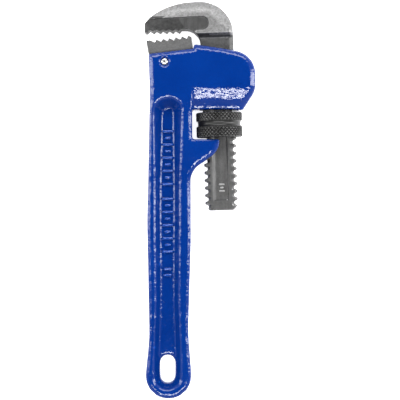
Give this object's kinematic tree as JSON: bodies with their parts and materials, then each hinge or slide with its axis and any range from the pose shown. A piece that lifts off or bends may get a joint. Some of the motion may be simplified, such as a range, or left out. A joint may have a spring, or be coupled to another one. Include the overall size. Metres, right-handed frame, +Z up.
{
  "type": "pipe wrench",
  "caption": "Adjustable pipe wrench with a cast I-section handle and loop, a toothed heel jaw, a sliding hook jaw on a threaded shank and a knurled adjusting nut.",
  "frame": {"origin": "centre of the plan outline, on the plane the wrench lies on (the nut's lowest line)", "axes": "+Y from the hang hole to the jaws, +X from the handle's back edge to the loop's outer edge, +Z up through the thickness"},
  "size_m": [0.0496, 0.1775, 0.0207],
  "materials": {
    "blue_enamel": "glossy enamel over a sand-cast skin",
    "hardened_steel": "broached teeth, matt grey",
    "forged_steel": "blasted forging with machined flats",
    "black_oxide": "black oxide over diamond knurling",
    "bright_steel": "bright ground",
    "spring_steel": "oiled spring temper"
  },
  "bodies": {
    "handle_set": {"handle": "blue_enamel", "heel_jaw": "hardened_steel", "heel_jaw_pin": "bright_steel", "leaf_spring": "spring_steel", "spring_rivet": "bright_steel"},
    "jaw_float": {"coil_spring": "spring_steel"},
    "hook": {"hook_jaw": "forged_steel"},
    "nut": {"adjusting_nut": "black_oxide"}
  },
  "joints": [
    {"name": "jaw_rock", "type": "hinge", "parent": "handle_set", "child": "jaw_float", "pos_m": [0.00855, 0.04, 0.01035], "axis": [0, 0, 1], "range_deg": [-1, 1], "stiffness_Nm_per_rad": 0.3},
    {"name": "nut_spin", "type": "hinge", "parent": "jaw_float", "child": "nut", "pos_m": [0.00855, 0.0334, 0.01035], "axis": [-0.0297, 0.9996, 0], "range_deg": [-3176.97, 159.32]},
    {"name": "jaw_slide", "type": "slide", "parent": "jaw_float", "child": "hook", "axis": [-0.0297, 0.9996, 0], "range_m": [-0.0015, 0.03]}
  ],
  "couplings": [
    {"joint": "nut_spin", "follows": "jaw_slide", "rad_per_m": -1848}
  ]
}
